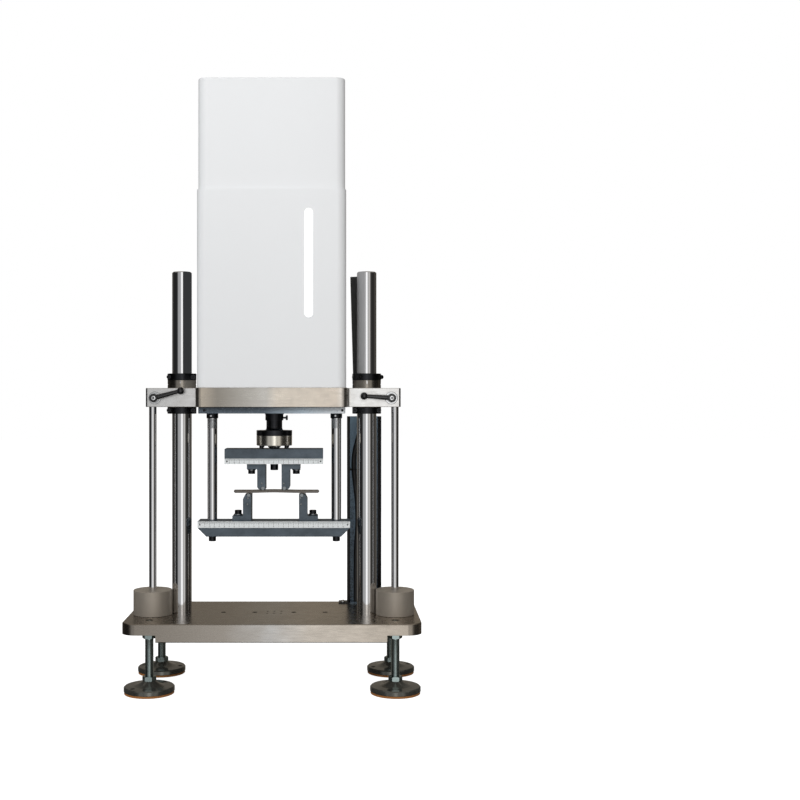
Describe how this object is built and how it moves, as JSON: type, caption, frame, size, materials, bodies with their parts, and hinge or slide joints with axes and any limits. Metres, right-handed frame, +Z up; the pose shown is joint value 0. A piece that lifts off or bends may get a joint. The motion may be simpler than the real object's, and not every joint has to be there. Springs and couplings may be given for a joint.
{
  "type": "flexural fatigue testing machine",
  "caption": "Twin-column bench load frame with a covered screw actuator on a clamped crosshead, a load cell and a four-point bending fixture holding a flat bar.",
  "frame": {"origin": "on the floor under the load axis, midway between the columns", "axes": "+X to the operator's right along the base, +Y to the rear, +Z up along the load axis"},
  "size_m": [0.587, 0.27, 1.206],
  "materials": {
    "ground_steel": "ground and lightly oiled",
    "hard_chrome": "polished hard chrome",
    "socket_taupe": "satin taupe paint",
    "zinc_steel": "zinc plated",
    "pad_iron": "glossy dark lacquer with a tan sole",
    "crosshead_steel": "nickel plated and ground",
    "bush_steel": "turned steel",
    "black_oxide": "black oxide",
    "lever_black": "gloss black",
    "plate_blue": "slate blue paint",
    "beam_slate": "slate phosphate finish",
    "scale_silver": "satin with black graduations",
    "roller_steel": "hardened dark steel",
    "bar_steel": "plain rolled steel",
    "cell_nickel": "turned, nickel brown",
    "bronze": "turned bronze",
    "machined_steel": "machined",
    "cast_aluminium": "machined casting",
    "motor_black": "satin black",
    "cover_white": "satin white powder coat",
    "lens_white": "opal lens",
    "duct_blue": "hammered blue with black edges",
    "guard_black": "matt black",
    "cable_black": "matt black jacket"
  },
  "bodies": {
    "frame": {"base_plate": "ground_steel", "columns": "hard_chrome", "column_screws": "black_oxide", "side_rods": "hard_chrome", "rod_sockets": "socket_taupe", "foot_lock_nuts": "zinc_steel", "cable_duct": "duct_blue", "duct_cable": "cable_black"},
    "crosshead_unit": {"crosshead": "crosshead_steel", "column_bushings": "bush_steel", "clamp_rings": "black_oxide", "ring_screws": "black_oxide", "under_plate": "plate_blue", "hanging_rods": "hard_chrome", "rod_lock_nuts": "black_oxide", "hanging_rod_screws": "black_oxide", "lower_beam": "beam_slate", "lower_scale": "scale_silver", "lower_cover": "cover_white", "upper_cover": "cover_white", "status_light_bar": "lens_white", "cable_guard": "guard_black", "actuator_housing": "cast_aluminium", "guide_bush": "bronze", "screw_bearing": "machined_steel", "motor_mount": "cast_aluminium", "servo_motor": "motor_black", "rod_lock_collar": "black_oxide"},
    "drive_screw": {"ball_screw": "machined_steel", "shaft_coupling": "machined_steel", "motor_shaft": "machined_steel"},
    "actuator": {"piston_rod": "black_oxide", "ball_nut": "machined_steel", "load_cell_adapter": "black_oxide", "load_cell": "cell_nickel", "load_cell_bolts": "black_oxide", "ball_stud": "roller_steel", "beam_bolt": "black_oxide", "upper_beam": "beam_slate", "upper_scale": "scale_silver"},
    "left_lever": {"lever_left": "lever_black"},
    "right_lever": {"lever_right": "lever_black"},
    "lock_screw": {"rod_lock_screw": "black_oxide"},
    "test_bar": {"specimen": "bar_steel"},
    "left_upper_nose": {"upper_nose_left": "beam_slate"},
    "left_upper_roller": {"upper_roller_left": "roller_steel"},
    "right_upper_nose": {"upper_nose_right": "beam_slate"},
    "right_upper_roller": {"upper_roller_right": "roller_steel"},
    "left_lower_nose": {"lower_nose_left": "beam_slate"},
    "left_lower_roller": {"lower_roller_left": "roller_steel"},
    "right_lower_nose": {"lower_nose_right": "beam_slate"},
    "right_lower_roller": {"lower_roller_right": "roller_steel"},
    "front_left_pad": {"foot_pad_front_left": "pad_iron"},
    "front_left_stud": {"foot_stud_front_left": "zinc_steel"},
    "front_right_pad": {"foot_pad_front_right": "pad_iron"},
    "front_right_stud": {"foot_stud_front_right": "zinc_steel"},
    "rear_left_pad": {"foot_pad_rear_left": "pad_iron"},
    "rear_left_stud": {"foot_stud_rear_left": "zinc_steel"},
    "rear_right_pad": {"foot_pad_rear_right": "pad_iron"},
    "rear_right_stud": {"foot_stud_rear_right": "zinc_steel"}
  },
  "joints": [
    {"name": "crosshead_lift", "type": "slide", "parent": "frame", "child": "crosshead_unit", "axis": [0, 0, 1], "range_m": [-0.12, 0.02]},
    {"name": "screw_spin", "type": "hinge", "parent": "crosshead_unit", "child": "drive_screw", "pos_m": [0, 0, 0.7], "axis": [0, 0, 1], "range_deg": [0, 506]},
    {"name": "actuator_stroke", "type": "slide", "parent": "crosshead_unit", "child": "actuator", "axis": [0, 0, 1], "range_m": [0, 0.014]},
    {"name": "left_lever_turn", "type": "hinge", "parent": "crosshead_unit", "child": "left_lever", "pos_m": [-0.2372, -0.06, 0.582], "axis": [0, -1, 0], "range_deg": [-25, 100]},
    {"name": "right_lever_turn", "type": "hinge", "parent": "crosshead_unit", "child": "right_lever", "pos_m": [0.2372, -0.06, 0.582], "axis": [0, -1, 0], "range_deg": [-25, 100]},
    {"name": "lock_screw_turn", "type": "hinge", "parent": "crosshead_unit", "child": "lock_screw", "pos_m": [0.02, 0, 0.5417], "axis": [1, 0, 0], "continuous": true},
    {"name": "test_bar_slide", "type": "slide", "parent": "crosshead_unit", "child": "test_bar", "axis": [0, -1, 0], "range_m": [0, 0.12]},
    {"name": "left_upper_nose_slide", "type": "slide", "parent": "actuator", "child": "left_upper_nose", "axis": [1, 0, 0], "range_m": [-0.043, 0.006]},
    {"name": "left_upper_roller_spin", "type": "hinge", "parent": "left_upper_nose", "child": "left_upper_roller", "pos_m": [-0.0225, 0, 0.39842], "axis": [0, 1, 0], "continuous": true},
    {"name": "right_upper_nose_slide", "type": "slide", "parent": "actuator", "child": "right_upper_nose", "axis": [1, 0, 0], "range_m": [-0.005, 0.043]},
    {"name": "right_upper_roller_spin", "type": "hinge", "parent": "right_upper_nose", "child": "right_upper_roller", "pos_m": [0.021, 0, 0.39842], "axis": [0, 1, 0], "continuous": true},
    {"name": "left_lower_nose_slide", "type": "slide", "parent": "crosshead_unit", "child": "left_lower_nose", "axis": [1, 0, 0], "range_m": [-0.027, 0.038]},
    {"name": "left_lower_roller_spin", "type": "hinge", "parent": "left_lower_nose", "child": "left_lower_roller", "pos_m": [-0.0515, 0, 0.3842], "axis": [0, 1, 0], "continuous": true},
    {"name": "right_lower_nose_slide", "type": "slide", "parent": "crosshead_unit", "child": "right_lower_nose", "axis": [1, 0, 0], "range_m": [-0.043, 0.022]},
    {"name": "right_lower_roller_spin", "type": "hinge", "parent": "right_lower_nose", "child": "right_lower_roller", "pos_m": [0.0565, 0, 0.3842], "axis": [0, 1, 0], "continuous": true},
    {"name": "front_left_level", "type": "slide", "parent": "frame", "child": "front_left_pad", "axis": [0, 0, 1], "range_m": [-0.01, 0.025]},
    {"name": "front_left_stud_turn", "type": "hinge", "parent": "front_left_pad", "child": "front_left_stud", "pos_m": [-0.243, -0.085, 0.08], "axis": [0, 0, -1], "range_deg": [-1805, 4505]},
    {"name": "front_right_level", "type": "slide", "parent": "frame", "child": "front_right_pad", "axis": [0, 0, 1], "range_m": [-0.01, 0.025]},
    {"name": "front_right_stud_turn", "type": "hinge", "parent": "front_right_pad", "child": "front_right_stud", "pos_m": [0.243, -0.085, 0.08], "axis": [0, 0, -1], "range_deg": [-1805, 4505]},
    {"name": "rear_left_level", "type": "slide", "parent": "frame", "child": "rear_left_pad", "axis": [0, 0, 1], "range_m": [-0.01, 0.025]},
    {"name": "rear_left_stud_turn", "type": "hinge", "parent": "rear_left_pad", "child": "rear_left_stud", "pos_m": [-0.243, 0.085, 0.08], "axis": [0, 0, -1], "range_deg": [-1805, 4505]},
    {"name": "rear_right_level", "type": "slide", "parent": "frame", "child": "rear_right_pad", "axis": [0, 0, 1], "range_m": [-0.01, 0.025]},
    {"name": "rear_right_stud_turn", "type": "hinge", "parent": "rear_right_pad", "child": "rear_right_stud", "pos_m": [0.243, 0.085, 0.08], "axis": [0, 0, -1], "range_deg": [-1805, 4505]}
  ],
  "couplings": [
    {"joint": "screw_spin", "follows": "actuator_stroke", "rad_per_m": 628.32},
    {"joint": "front_left_stud_turn", "follows": "front_left_level", "rad_per_m": 3141.6},
    {"joint": "front_right_stud_turn", "follows": "front_right_level", "rad_per_m": 3141.6},
    {"joint": "rear_left_stud_turn", "follows": "rear_left_level", "rad_per_m": 3141.6},
    {"joint": "rear_right_stud_turn", "follows": "rear_right_level", "rad_per_m": 3141.6}
  ]
}
